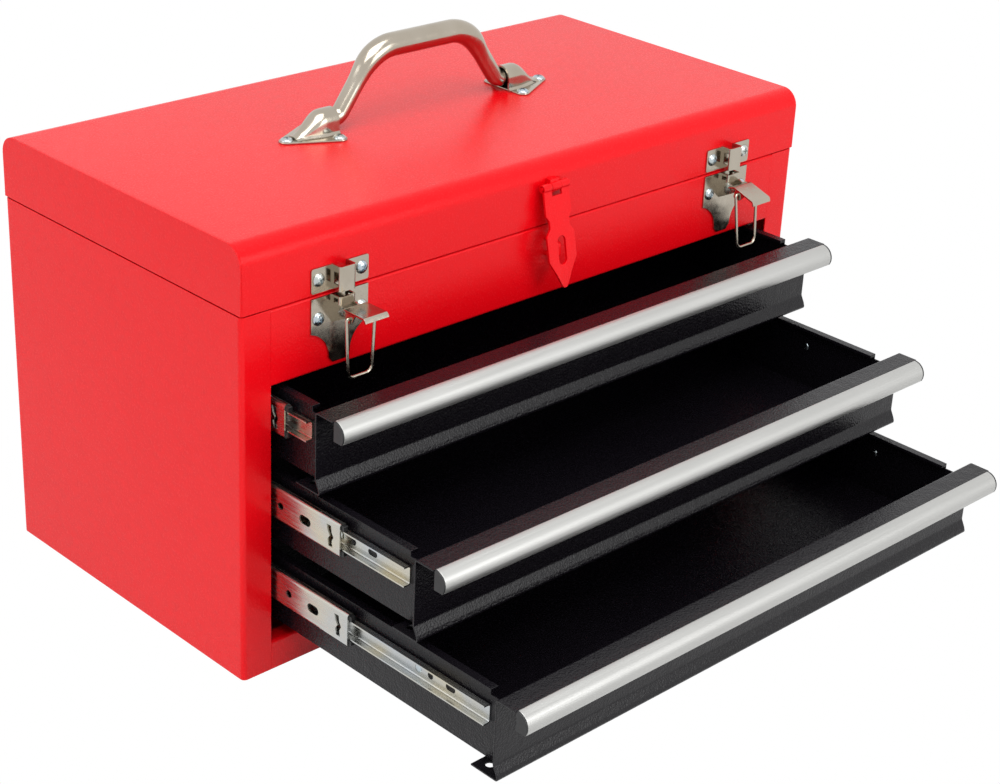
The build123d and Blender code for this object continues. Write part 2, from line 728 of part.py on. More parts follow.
with BuildPart() as cabinet_latch_screws:
    for x in latch_screw_xs:
        add(domed_screw(Plane(origin=(x, plate_front, BASE_SCREW_Z), z_dir=(0, -1, 0))))
keep(cabinet_latch_screws.part, "cabinet_latch_screws")

with BuildPart() as lid_latch_screws:
    for x in latch_screw_xs:
        add(domed_screw(Plane(origin=(x, plate_front, STRIKE_SCREW_Z), z_dir=(0, -1, 0))))
keep(lid_latch_screws.part, "lid_latch_screws")

# ================================================================ hasp
hasp_y = FRONT - HASP_PIVOT_Y
hasp_plane = Plane(
    origin=(0, hasp_y, HASP_PIVOT_Z),
    x_dir=(1, 0, 0),
    z_dir=(0, -cos(radians(HASP_OUT)), sin(radians(HASP_OUT))),
)
knuckle_half = HASP_TOP_W / 2
centre_half = knuckle_half * 0.34
with BuildPart() as hasp:
    # The outline is drawn hanging down from the pivot and laid on the tilted plane.
    with BuildSketch(hasp_plane.offset(-HASP_T / 2 + 1.0)):
        with BuildLine():
            Polyline(
                (-knuckle_half, 0),
                (-knuckle_half, -19),
                (-HASP_WAIST_W / 2, -22.5),
                (-HASP_WAIST_W / 2, -28),
                (-HASP_W / 2, -33),
                (-HASP_W / 2, -50),
                (-HASP_W / 2 + 1.5, -60),
                (-HASP_TIP_W / 2 - 1, -HASP_LENGTH + 2),
                (-HASP_TIP_W / 2 + 1.5, -HASP_LENGTH),
                (HASP_TIP_W / 2 - 1.5, -HASP_LENGTH),
                (HASP_TIP_W / 2 + 1, -HASP_LENGTH + 2),
                (HASP_W / 2 - 1.5, -60),
                (HASP_W / 2, -50),
                (HASP_W / 2, -33),
                (HASP_WAIST_W / 2, -28),
                (HASP_WAIST_W / 2, -22.5),
                (knuckle_half, -19),
                (knuckle_half, 0),
                close=True,
            )
        make_face()
        with Locations((0, -HASP_SLOT_AT)):
            SlotOverall(HASP_SLOT_H, HASP_SLOT_W, rotation=90, mode=Mode.SUBTRACT)
    extrude(amount=HASP_T)
    with BuildSketch(Plane.YZ):
        with Locations((hasp_y, HASP_PIVOT_Z)):
            Circle(HASP_BARREL_R)
    extrude(amount=knuckle_half, both=True)
    # The window leaves room for the middle knuckle of the bracket.
    window_half = centre_half + 0.4
    with BuildSketch(Plane.YZ):
        with Locations((hasp_y, HASP_PIVOT_Z)):
            Circle(HASP_BARREL_R + 0.5)
    extrude(amount=window_half, both=True, mode=Mode.SUBTRACT)
    with BuildSketch(hasp_plane.offset(-6)):
        with Locations((0, -HASP_WINDOW_H / 2)):
            Rectangle(2 * window_half, HASP_WINDOW_H)
    extrude(amount=12, mode=Mode.SUBTRACT)
    with BuildSketch(Plane.YZ):
        with Locations((hasp_y, HASP_PIVOT_Z)):
            Circle(HASP_BORE_R)
    extrude(amount=knuckle_half, both=True, mode=Mode.SUBTRACT)
keep(hasp.part, "hasp")

with BuildPart() as hasp_bracket:
    with BuildSketch(Plane.XZ.offset(-FRONT)):
        with Locations((0, HASP_PIVOT_Z + 0.6)):
            Rectangle(2 * centre_half, 9)
    extrude(amount=HASP_PIVOT_Y)
    with BuildSketch(Plane.YZ):
        with Locations((hasp_y, HASP_PIVOT_Z)):
            Circle(HASP_BARREL_R)
    extrude(amount=centre_half, both=True)
    with BuildSketch(Plane.YZ):
        with Locations((hasp_y, HASP_PIVOT_Z)):
            Circle(HASP_PIN_R)
    extrude(amount=knuckle_half + 0.4, both=True)
keep(hasp_bracket.part, "hasp_bracket")

# Staple: a strap bent out of the cabinet's face that the hasp's slot drops over.
staple_z = HASP_PIVOT_Z - HASP_SLOT_AT
with BuildPart() as staple:
    with BuildSketch(Plane.YZ.offset(-STAPLE_W / 2)):
        with BuildLine():
            FilletPolyline(
                (FRONT, staple_z - STAPLE_H / 2 + 1),
                (FRONT - STAPLE_OUT + 1, staple_z - STAPLE_H / 2 + 1),
                (FRONT - STAPLE_OUT + 1, staple_z + STAPLE_H / 2 - 1),
                (FRONT, staple_z + STAPLE_H / 2 - 1),
                radius=3.0,
            )
        trace(line_width=2.0)
    extrude(amount=STAPLE_W)
keep(staple.part, "hasp_staple")

# ================================================================ carry handle
axis_z = HEIGHT + HANDLE_AXIS_UP
handle_plane = Plane(origin=(0, HANDLE_Y, axis_z), x_dir=(1, 0, 0), z_dir=(0, -1, 0))
with BuildPart() as handle:
    with BuildLine(handle_plane) as grip_path:
        FilletPolyline(
            (-TUBE_END, 0),
            (-FOOT_HALF, 0),
            (-GRIP_HALF, HANDLE_RISE),
            (GRIP_HALF, HANDLE_RISE),
            (FOOT_HALF, 0),
            (TUBE_END, 0),
            radius=[FOOT_BEND_R, GRIP_BEND_R, GRIP_BEND_R, FOOT_BEND_R],
        )
    with BuildSketch(Plane(origin=grip_path.line @ 0, z_dir=grip_path.line % 0)):
        Circle(TUBE_R)
    sweep()
keep(handle.part, "carry_handle")

for side_name, side in SIDES.items():
    saddle_r = TUBE_R + SADDLE_CLEAR
    with BuildPart() as bracket:
        with BuildSketch(Plane.XY.offset(HEIGHT)):
            with BuildLine():
                Polyline(
                    (side * (SADDLE_INNER - 1), HANDLE_Y - PLATE_HALF),
                    (side * (BRACKET_SCREW_X + 5), HANDLE_Y - PLATE_HALF),
                    (side * (PLATE_TIP_X + PLATE_TIP_R), HANDLE_Y - PLATE_TIP_R * 0.6),
                    (side * (PLATE_TIP_X + PLATE_TIP_R), HANDLE_Y + PLATE_TIP_R * 0.6),
                    (side * (BRACKET_SCREW_X + 5), HANDLE_Y + PLATE_HALF),
                    (side * (SADDLE_INNER - 1), HANDLE_Y + PLATE_HALF),
                    close=True,
                )
            make_face()
            with Locations((side * BRACKET_SCREW_X, HANDLE_Y - BRACKET_SCREW_Y),
                           (side * BRACKET_SCREW_X, HANDLE_Y + BRACKET_SCREW_Y),
                           (side * PLATE_TIP_X, HANDLE_Y)):
                Circle(SCREW_R + SCREW_CLEAR, mode=Mode.SUBTRACT)
        extrude(amount=PLATE_T)
        # The saddle is a half barrel with straight feet down to the plate.
        inner_x = min(side * SADDLE_INNER, side * SADDLE_OUTER)
        with BuildSketch(Plane.YZ.offset(inner_x)):
            with Locations((HANDLE_Y, axis_z)):
                Circle(saddle_r + SADDLE_WALL)
            with Locations((HANDLE_Y, (HEIGHT + axis_z) / 2)):
                Rectangle(2 * (saddle_r + SADDLE_WALL), HANDLE_AXIS_UP)
            with Locations((HANDLE_Y, axis_z)):
                Circle(saddle_r, mode=Mode.SUBTRACT)
            with Locations((HANDLE_Y, (HEIGHT + PLATE_T + axis_z) / 2)):
                Rectangle(2 * saddle_r, HANDLE_AXIS_UP - PLATE_T, mode=Mode.SUBTRACT)
            with Locations((HANDLE_Y, HEIGHT - 15)):
                Rectangle(60, 30, mode=Mode.SUBTRACT)
        extrude(amount=SADDLE_OUTER - SADDLE_INNER)
    keep(bracket.part, f"{side_name}_handle_bracket")

with BuildPart() as handle_screws:
    for side in (-1, 1):
        for x, y in ((BRACKET_SCREW_X, -BRACKET_SCREW_Y), (BRACKET_SCREW_X, BRACKET_SCREW_Y), (PLATE_TIP_X, 0)):
            add(domed_screw(Plane(origin=(side * x, HANDLE_Y + y, HEIGHT + PLATE_T), z_dir=(0, 0, 1))))
keep(handle_screws.part, "handle_screws")
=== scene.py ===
# %% [markdown]
# A portable steel tool box: a lidded top compartment over three open drawers.
# The metal parts arrive finished to size. This lesson dresses them: it softens their edges, gives each
# one its coating or plating, and adds the small hardware that carries the eye, such as cross-slot
# screws, rivets and the ball cages of the drawer slides.

# %% Load the measured parts
import json
from math import asin, ceil, cos, pi, radians, sin, tan

import bpy
from mathutils import Matrix, Vector

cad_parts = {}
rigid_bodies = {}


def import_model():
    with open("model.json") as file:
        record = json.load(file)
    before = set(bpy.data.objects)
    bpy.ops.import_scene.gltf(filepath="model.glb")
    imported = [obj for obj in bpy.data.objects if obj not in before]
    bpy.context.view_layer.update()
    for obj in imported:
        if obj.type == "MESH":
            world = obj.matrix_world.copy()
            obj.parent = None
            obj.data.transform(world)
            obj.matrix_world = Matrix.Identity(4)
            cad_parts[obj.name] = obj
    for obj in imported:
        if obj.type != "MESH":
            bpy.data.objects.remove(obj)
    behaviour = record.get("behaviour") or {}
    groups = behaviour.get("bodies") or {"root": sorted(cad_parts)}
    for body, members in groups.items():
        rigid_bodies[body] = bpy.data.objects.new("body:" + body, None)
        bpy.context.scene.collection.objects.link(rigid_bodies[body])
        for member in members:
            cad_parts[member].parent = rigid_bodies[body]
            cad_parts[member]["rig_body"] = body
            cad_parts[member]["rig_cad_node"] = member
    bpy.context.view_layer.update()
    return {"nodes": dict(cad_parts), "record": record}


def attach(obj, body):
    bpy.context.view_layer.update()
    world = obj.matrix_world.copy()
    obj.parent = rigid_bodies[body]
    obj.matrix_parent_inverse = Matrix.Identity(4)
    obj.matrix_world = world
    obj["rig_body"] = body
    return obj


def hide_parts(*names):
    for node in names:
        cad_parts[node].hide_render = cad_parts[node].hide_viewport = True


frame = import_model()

# %% [markdown]
# A studio picture of a product has a white ground, one large soft lamp above and a weaker one from the
# side. Blender measures in metres, so a millimetre is a handy unit to name first.

# %% Units and small helpers
MM = 0.001


def deselect_all():
    """Operators act on all that is selected, so each step starts with nothing selected."""
    if bpy.context.object and bpy.context.object.mode != "OBJECT":
        bpy.ops.object.mode_set(mode="OBJECT")
    bpy.ops.object.select_all(action="DESELECT")


def activate(piece):
    """Make one piece the selected and active one."""
    deselect_all()
    piece.select_set(True)
    bpy.context.view_layer.objects.active = piece


def apply_place(piece):
    """Move the piece's place, turn and size into its mesh, so that its object sits at the origin."""
    activate(piece)
    bpy.ops.object.transform_apply(location=True, rotation=True, scale=True)


def apply_modifiers(piece):
    activate(piece)
    for modifier in list(piece.modifiers):
        bpy.ops.object.modifier_apply(modifier=modifier.name)


# %% [markdown]
# ## Finishes
# Every finish is a small node graph on one Principled shader. The patterns read Object coordinates, so
# they keep their real size on each part, and a bump gives the skin its texture.

# %% A base for all the finishes
def new_finish(name, color, metallic, roughness):
    """A material with a Principled shader whose constants are set on its own sockets."""
    material = bpy.data.materials.new(name)
    material.use_nodes = True
    shader = material.node_tree.nodes["Principled BSDF"]
    shader.inputs["Base Color"].default_value = (*color, 1.0)
    shader.inputs["Metallic"].default_value = metallic
    shader.inputs["Roughness"].default_value = roughness
    return material, material.node_tree.nodes, material.node_tree.links, shader


def noise(nodes, links, scale, stretch=(1.0, 1.0, 1.0), detail=2.0, rough=0.5):
    """Noise of a given number of grains per metre, which may be stretched along an axis."""
    coords = nodes.new("ShaderNodeTexCoord")
    mapping = nodes.new("ShaderNodeMapping")
    mapping.inputs["Scale"].default_value = stretch
    texture = nodes.new("ShaderNodeTexNoise")
    texture.inputs["Scale"].default_value = scale
    texture.inputs["Detail"].default_value = detail
    texture.inputs["Roughness"].default_value = rough
    links.new(coords.outputs["Object"], mapping.inputs["Vector"])
    links.new(mapping.outputs["Vector"], texture.inputs["Vector"])
    return texture


def spread(nodes, links, source, low, high):
    """Turn a 0 to 1 pattern into a range of values."""
    ramp = nodes.new("ShaderNodeMapRange")
    ramp.inputs["From Min"].default_value = 0.3
    ramp.inputs["From Max"].default_value = 0.7
    ramp.inputs["To Min"].default_value = low
    ramp.inputs["To Max"].default_value = high
    links.new(source, ramp.inputs["Value"])
    return ramp.outputs["Result"]


def blend_colors(nodes, links, factor, first, second):
    mix = nodes.new("ShaderNodeMix")
    mix.data_type = "RGBA"
    mix.inputs[6].default_value = (*first, 1.0)
    mix.inputs[7].default_value = (*second, 1.0)
    links.new(factor, mix.inputs[0])
    return mix.outputs[2]


def add_bump(nodes, links, shader, height, depth, strength=1.0):
    bump = nodes.new("ShaderNodeBump")
    bump.inputs["Distance"].default_value = depth
    bump.inputs["Strength"].default_value = strength
    links.new(height, bump.inputs["Height"])
    links.new(bump.outputs["Normal"], shader.inputs["Normal"])


# %% [markdown]
# Powder coat is sprayed dry and baked. It flows into a glossy skin with a fine pebble, about one grain
# to the millimetre, over a slower orange-peel wave. Two layers of noise added together give both.

# %% Powder coats
def powder_coat(name, color, deep, roughness, ior, pebble_depth):
    material, nodes, links, shader = new_finish(name, color, 0.0, roughness)
    shader.inputs["IOR"].default_value = ior
    pebble = noise(nodes, links, 760.0, detail=1.5)
    wave = noise(nodes, links, 120.0, detail=1.0)
    cloud = noise(nodes, links, 7.0, detail=2.0)
    height = nodes.new("ShaderNodeMath")
    height.operation = "MULTIPLY_ADD"
    height.inputs[1].default_value = 0.8
    links.new(wave.outputs["Fac"], height.inputs[0])
    links.new(pebble.outputs["Fac"], height.inputs[2])
    add_bump(nodes, links, shader, height.outputs["Value"], pebble_depth)
    links.new(blend_colors(nodes, links, cloud.outputs["Fac"], color, deep), shader.inputs["Base Color"])
    links.new(spread(nodes, links, pebble.outputs["Fac"], roughness - 0.05, roughness + 0.06),
              shader.inputs["Roughness"])
    return material


red_coat = powder_coat("red_powder_coat", (0.82, 0.002, 0.007), (0.76, 0.001, 0.005),
                       roughness=0.24, ior=1.30, pebble_depth=0.00020)
black_coat = powder_coat("black_powder_coat", (0.006, 0.005, 0.007), (0.004, 0.003, 0.005),
                         roughness=0.27, ior=1.36, pebble_depth=0.00032)

# %% [markdown]
# The pulls are drawn aluminium, so fine lines run along them. Nickel is warm and almost a mirror.
# Zinc is cooler, a little cloudy, and its passivated skin shifts between pale yellow and blue.

# %% Metals and plastic
def drawn_aluminium():
    color = (0.53, 0.53, 0.515)
    material, nodes, links, shader = new_finish("satin_aluminium", color, 0.9, 0.42)
    lines = noise(nodes, links, 900.0, stretch=(0.012, 1.0, 1.0), detail=2.0)
    cloud = noise(nodes, links, 14.0)
    add_bump(nodes, links, shader, lines.outputs["Fac"], 0.00006)
    links.new(spread(nodes, links, lines.outputs["Fac"], 0.34, 0.50), shader.inputs["Roughness"])
    links.new(blend_colors(nodes, links, cloud.outputs["Fac"], color, (0.48, 0.48, 0.465)),
              shader.inputs["Base Color"])
    return material


def warm_nickel():
    color = (0.50, 0.455, 0.385)
    material, nodes, links, shader = new_finish("nickel_plate", color, 1.0, 0.17)
    ripple = noise(nodes, links, 55.0, detail=1.0)
    haze = noise(nodes, links, 300.0, detail=3.0)
    add_bump(nodes, links, shader, ripple.outputs["Fac"], 0.00018)
    links.new(spread(nodes, links, haze.outputs["Fac"], 0.12, 0.25), shader.inputs["Roughness"])
    links.new(blend_colors(nodes, links, ripple.outputs["Fac"], color, (0.40, 0.35, 0.28)),
              shader.inputs["Base Color"])
    return material


def passivated_zinc(name, cool, warm, roughness):
    material, nodes, links, shader = new_finish(name, cool, 1.0, roughness)
    cloud = noise(nodes, links, 38.0, detail=2.0)
    grain = noise(nodes, links, 650.0, stretch=(1.0, 0.05, 1.0), detail=2.0)
    add_bump(nodes, links, shader, grain.outputs["Fac"], 0.00004)
    links.new(spread(nodes, links, grain.outputs["Fac"], roughness - 0.06, roughness + 0.08),
              shader.inputs["Roughness"])
    links.new(blend_colors(nodes, links, spread(nodes, links, cloud.outputs["Fac"], 0.0, 1.0), cool, warm),
              shader.inputs["Base Color"])
    return material


def moulded_plastic():
    color = (0.010, 0.010, 0.011)
    material, nodes, links, shader = new_finish("dark_plastic", color, 0.0, 0.42)
    grain = noise(nodes, links, 900.0, detail=2.0)
    add_bump(nodes, links, shader, grain.outputs["Fac"], 0.00008)
    links.new(spread(nodes, links, grain.outputs["Fac"], 0.36, 0.50), shader.inputs["Roughness"])
    return material


aluminium = drawn_aluminium()
nickel = warm_nickel()
rail_zinc = passivated_zinc("zinc_rail", (0.50, 0.53, 0.56), (0.60, 0.56, 0.45), 0.26)
screw_zinc = passivated_zinc("zinc_screw", (0.46, 0.54, 0.60), (0.54, 0.56, 0.52), 0.22)
plastic = moulded_plastic()
FINISHES = {
    "red_coating": red_coat,
    "black_coating": black_coat,
    "satin_aluminium": aluminium,
    "dark_plastic": plastic,
    "zinc_plate": rail_zinc,
    "nickel_plate": nickel,
}
print("finishes", sorted(FINISHES))

# %% [markdown]
# ## Softened edges
# Real sheet metal has no knife edges: shearing, bending and the coating itself round them, and that thin
# bright line along each edge is what makes a part look solid. Each measured part is copied, its loose
# triangles are joined, flat neighbours are merged, and a narrow bevel runs along the sharp edges.
# Pieces that are made again further down are left out here.

# %% Dress the measured parts
slot_of = {row["node"]: row["material_slot"] for row in frame["record"]["subparts"]}
body_of = {}
for body_name, members in frame["record"]["behaviour"]["bodies"].items():
    for member in members:
        body_of[member] = body_name

SIDES = {"left": -1, "right": 1}
SMOOTH_ANGLE = radians(32)
EDGE_WIDTH = {
    "red_coating": 0.35 * MM,
    "black_coating": 0.30 * MM,
    "satin_aluminium": 0.25 * MM,
    "dark_plastic": 0.30 * MM,
    "zinc_plate": 0.14 * MM,
    "nickel_plate": 0.18 * MM,
}
REPLACED_LATER = {"carry_handle", "left_handle_bracket", "right_handle_bracket", "handle_screws",
                  "cabinet_latch_screws", "lid_latch_screws"}
for side_name in SIDES:
    REPLACED_LATER |= {side_name + "_latch_bail", side_name + "_latch_lever"}
for drawer in ("drawer_1", "drawer_2", "drawer_3"):
    REPLACED_LATER |= {drawer + "_front", drawer + "_pull", drawer + "_pull_caps"}
    for side_name in SIDES:
        REPLACED_LATER |= {f"{drawer}_{side_name}_middle_rail", f"{drawer}_{side_name}_inner_rail"}


def even_normals(piece):
    """Let the large flat faces set the shading, so that the narrow bevels alone look round."""
    weigh = piece.modifiers.new("even", "WEIGHTED_NORMAL")
    weigh.keep_sharp = True
    weigh.weight = 100
    apply_modifiers(piece)


def bevel_edges(piece, width):
    """Round every edge that is sharper than the smooth angle."""
    bevel = piece.modifiers.new("edge", "BEVEL")
    bevel.width = width
    bevel.segments = 2
    bevel.limit_method = "ANGLE"
    bevel.angle_limit = SMOOTH_ANGLE
    apply_modifiers(piece)


def soften(node):
    """A copy of a part with joined triangles and a narrow bevel along its sharp edges."""
    source = frame["nodes"][node]
    piece = source.copy()
    piece.data = source.data.copy()
    piece.name = node + ".dressed"
    piece.parent = None
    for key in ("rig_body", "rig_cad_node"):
        if key in piece:
            del piece[key]
    bpy.context.scene.collection.objects.link(piece)
    activate(piece)
    bpy.ops.object.mode_set(mode="EDIT")
    bpy.ops.mesh.select_all(action="SELECT")
    bpy.ops.mesh.remove_doubles(threshold=0.004 * MM)
    bpy.ops.mesh.dissolve_limited(angle_limit=radians(0.4))
    bpy.ops.object.mode_set(mode="OBJECT")
    piece.data.materials.clear()
    piece.data.materials.append(FINISHES[slot_of[node]])
    bevel_edges(piece, EDGE_WIDTH[slot_of[node]])
    bpy.ops.object.shade_smooth_by_angle(angle=SMOOTH_ANGLE)
    even_normals(piece)
    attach(piece, body_of[node])
    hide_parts(node)
    return piece


def finish_piece(piece, name, node, material=None, takes_over=True, edge=0.0):
    """Name a new piece, give it a finish and let it ride with, and perhaps replace, a measured part."""
    piece.name = name
    piece.data.materials.clear()
    piece.data.materials.append(material or FINISHES[slot_of[node]])
    if edge:
        bevel_edges(piece, edge * MM)
    activate(piece)
    bpy.ops.object.shade_smooth_by_angle(angle=SMOOTH_ANGLE)
    even_normals(piece)
    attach(piece, body_of[node])
    if takes_over:
        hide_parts(node)
    return piece


dressed = {}
for node in sorted(frame["nodes"]):
    if node not in REPLACED_LATER:
        dressed[node] = soften(node)

# The hasp narrows to a point along its own length, measured down from its pivot.
HASP_PIVOT_Z, HASP_LEAN = 286.5, radians(12.0)
HASP_TAPER_FROM, HASP_TAPER_TO, HASP_TAPER_DEPTH = 52.0, 62.0, 0.42
for vertex in dressed["hasp"].data.vertices:
    below = (HASP_PIVOT_Z - vertex.co.z / MM) / cos(HASP_LEAN)
    share = min(max((below - HASP_TAPER_FROM) / (HASP_TAPER_TO - HASP_TAPER_FROM), 0.0), 1.0)
    vertex.co.x *= 1.0 - HASP_TAPER_DEPTH * share * (2.0 - share)
print("dressed", len(dressed), "faces", sum(len(p.data.polygons) for p in dressed.values()))

# %% [markdown]
# ## New pieces
# The visible hardware is made again with finer forms. A few shape makers do most of it: a bar along a
# line, a folded strip, a flat blank and a rounded corner. They all take millimetres.

# %% Shape makers
def rounded(points, radii, steps=8):
    """A 2-D line whose inner corners are arcs of the given radii."""
    line = [Vector(points[0])]
    for before, corner, after, radius in zip(points, points[1:], points[2:], radii):
        corner = Vector(corner)
        to_before = (Vector(before) - corner).normalized()
        to_after = (Vector(after) - corner).normalized()
        half = to_before.angle(to_after) / 2
        centre = corner + (to_before + to_after).normalized() * (radius / sin(half))
        start = corner + to_before * (radius / tan(half)) - centre
        end = corner + to_after * (radius / tan(half)) - centre
        for step in range(steps + 1):
            line.append(centre + start.lerp(end, step / steps).normalized() * radius)
    line.append(Vector(points[-1]))
    return line


def resample(line, spacing):
    """Add points so that no two neighbours lie further apart than the spacing."""
    result = [line[0]]
    for first, second in zip(line, line[1:]):
        count = max(1, ceil((second - first).length / spacing))
        result += [first.lerp(second, step / count) for step in range(1, count + 1)]
    return result


def outward(piece):
    """Make all the faces look outward."""
    activate(piece)
    bpy.ops.object.mode_set(mode="EDIT")
    bpy.ops.mesh.select_all(action="SELECT")
    bpy.ops.mesh.normals_make_consistent(inside=False)
    bpy.ops.object.mode_set(mode="OBJECT")
    return piece


def bar(places, radii, sides=10):
    """A round bar along a line of places, with a radius at each of them."""
    bpy.ops.curve.primitive_nurbs_path_add()
    piece = bpy.context.object
    piece.data.splines.clear()
    spline = piece.data.splines.new("POLY")
    spline.points.add(len(places) - 1)
    for knot, place, radius in zip(spline.points, places, radii):
        knot.co = (*(Vector(place) * MM), 1.0)
        knot.radius = radius
    piece.data.bevel_depth = MM
    piece.data.bevel_resolution = sides
    piece.data.use_fill_caps = True
    bpy.ops.object.convert(target="MESH")
    piece = bpy.context.object
    apply_place(piece)
    return outward(piece)


def skin(rows, thickness):
    """A sheet through rows of places, as many in each row, thickened about its middle."""
    bpy.ops.mesh.primitive_grid_add(x_subdivisions=len(rows[0]) - 1, y_subdivisions=len(rows) - 1)
    piece = bpy.context.object
    places = [place for row in rows for place in row]
    for vertex, place in zip(piece.data.vertices, places, strict=True):
        vertex.co = Vector(place) * MM
    thicken = piece.modifiers.new("sheet", "SOLIDIFY")
    thicken.thickness = thickness * MM
    thicken.offset = 0.0
    thicken.use_even_offset = True
    apply_modifiers(piece)
    return outward(piece)


def folded_x(profile, low_x, high_x, thickness):
    """A strip folded along a YZ profile, running along X."""
    return skin([[(x, y, z) for y, z in profile] for x in (low_x, high_x)], thickness)


def blank(outline, axis, low, high):
    """A flat outline extruded along an axis. Along X the outline gives (y, z), along Z (x, y)."""
    bpy.ops.mesh.primitive_circle_add(vertices=len(outline), fill_type="NGON")
    piece = bpy.context.object
    for vertex, (a, b) in zip(piece.data.vertices, outline, strict=True):
        vertex.co = Vector({"X": (low, a, b), "Y": (a, low, b), "Z": (a, b, low)}[axis]) * MM
    rise = Vector({"X": (1, 0, 0), "Y": (0, 1, 0), "Z": (0, 0, 1)}[axis]) * (high - low) * MM
    activate(piece)
    bpy.ops.object.mode_set(mode="EDIT")
    bpy.ops.mesh.select_all(action="SELECT")
    bpy.ops.mesh.extrude_region_move(TRANSFORM_OT_translate={"value": rise})
    bpy.ops.object.mode_set(mode="OBJECT")
    return outward(piece)


def stadium(centre, length, height, steps=10):
    """A slot's outline along its first axis, or a circle where length and height are the same."""
    radius = height / 2
    reach = (length - height) / 2
    outline = []
    for end in (1, -1):
        for step in range(steps + 1):
            angle = pi * step / steps - end * pi / 2
            outline.append((centre[0] + end * reach + radius * cos(angle), centre[1] + radius * sin(angle)))
    return outline


def cut(piece, cutters):
    """Take the cutters out of a piece."""
    for cutter in cutters:
        knife = piece.modifiers.new("cut", "BOOLEAN")
        knife.operation = "DIFFERENCE"
        knife.solver = "EXACT"
        knife.object = cutter
        apply_modifiers(piece)
        bpy.data.objects.remove(cutter)
    return piece


def joined(pieces):
    deselect_all()
    for piece in pieces:
        piece.select_set(True)
    bpy.context.view_layer.objects.active = pieces[0]
    bpy.ops.object.join()
    return pieces[0]


# %% [markdown]
# ## The carry handle
# The handle is one steel tube that swells over the grip. The two brackets are pressings: a plate with
# three screws, a saddle over the tube, and a nose that tapers down to the front screw.

# %% Handle and brackets
LID_TOP = 303.0
HANDLE_Y, AXIS_Z = 3.0, 312.4
HANDLE_RISE, TUBE_R, GRIP_R = 43.0, 6.2, 8.3
SWELL_FROM, SWELL_TO = 0.45, 0.95            # shares of the rise over which the tube swells
SADDLE_START, SADDLE_END, NOSE_END = 80.0, 90.0, 114.0
SADDLE_R, NOSE_HALF, NOSE_H, PLATE_T = 8.0, 3.6, 2.6, 1.5
SADDLE_T, FOOT_OUT, FOOT_UP = 1.3, 2.2, 1.4
ARCH_STEPS, NOSE_STEPS = 16, 10
PLATE_CORNER, PLATE_POINTS = 5.4, 96

centre_line = rounded([(-96, 0), (-74.5, 0), (-43, HANDLE_RISE), (43, HANDLE_RISE), (74.5, 0), (96, 0)],
                      [9.0, 33.0, 33.0, 9.0], steps=14)
centre_line = resample(centre_line, 3.0)
swell = [min(max((z / HANDLE_RISE - SWELL_FROM) / (SWELL_TO - SWELL_FROM), 0.0), 1.0) for x, z in centre_line]
grip = bar([(x, HANDLE_Y, AXIS_Z + z) for x, z in centre_line],
           [TUBE_R + (GRIP_R - TUBE_R) * s * s * (3 - 2 * s) for s in swell], sides=12)
finish_piece(grip, "handle_tube", "carry_handle")


def saddle_section(x, share):
    """One section across the saddle; share goes from 0 at the tube to 1 at the tip of the nose."""
    ease = share * share * (3 - 2 * share)
    half = SADDLE_R + (NOSE_HALF - SADDLE_R) * ease
    shoulder = (AXIS_Z - LID_TOP) * (1 - ease) + PLATE_T * ease
    top = (AXIS_Z - LID_TOP + SADDLE_R) * (1 - ease) + NOSE_H * ease
    crease = 1 + 0.5 * ease
    foot = [(half + FOOT_OUT, PLATE_T - 0.5), (half + 1.0, PLATE_T + 0.1),
            (half, min(PLATE_T + FOOT_UP, shoulder))]
    points = [(-y, z) for y, z in foot]
    for step in range(ARCH_STEPS + 1):
        angle = pi - pi * step / ARCH_STEPS
        points.append((half * cos(angle), shoulder + (top - shoulder) * sin(angle) ** crease))
    points += reversed(foot)
    return [(x, HANDLE_Y + y, LID_TOP + z) for y, z in points]


BRACKET_SCREWS = ((86.5, -16.5), (86.5, 16.5), (119.0, 0.0))
for side_name, side in SIDES.items():
    screws = [(side * x, HANDLE_Y + y) for x, y in BRACKET_SCREWS]
    outline = []
    for step in range(PLATE_POINTS):
        angle = 2 * pi * step / PLATE_POINTS
        direction = Vector((cos(angle), sin(angle)))
        outline.append(max((Vector(place) + direction * PLATE_CORNER for place in screws), key=direction.dot))
    plate = blank(outline, "Z", LID_TOP, LID_TOP + PLATE_T)
    rows = [saddle_section(side * SADDLE_START, 0.0), saddle_section(side * SADDLE_END, 0.0)]
    rows += [saddle_section(side * (SADDLE_END + (NOSE_END - SADDLE_END) * step / NOSE_STEPS),
                            step / NOSE_STEPS) for step in range(1, NOSE_STEPS + 1)]
    saddle = skin(rows, SADDLE_T)
    for vertex in saddle.data.vertices:
        vertex.co.z = max(vertex.co.z, (LID_TOP + 0.2) * MM)
    finish_piece(plate, side_name + "_bracket_plate", side_name + "_handle_bracket", edge=0.5)
    finish_piece(saddle, side_name + "_bracket_saddle", side_name + "_handle_bracket", edge=0.25)

# %% [markdown]
# ## Screws
# All the screws have a low domed head with a cross recess. One head is made, and copies are stamped where
# the brackets and latches need them, each turned by a given angle, as screws are.

# %% Cross-slot screws
HEAD_R, HEAD_H = 4.5, 2.3
SHANK_R, SHANK_L = 1.9, 6.0
CROSS_LENGTH, CROSS_WIDTH, CROSS_TALL, CROSS_Z = 4.8, 1.0, 3.0, 2.4
RIVET_R, RIVET_H = 2.9, 0.9
FIRST_TURN, TURN_STEP = 0.5, 1.9              # radians by which the stamped heads are turned


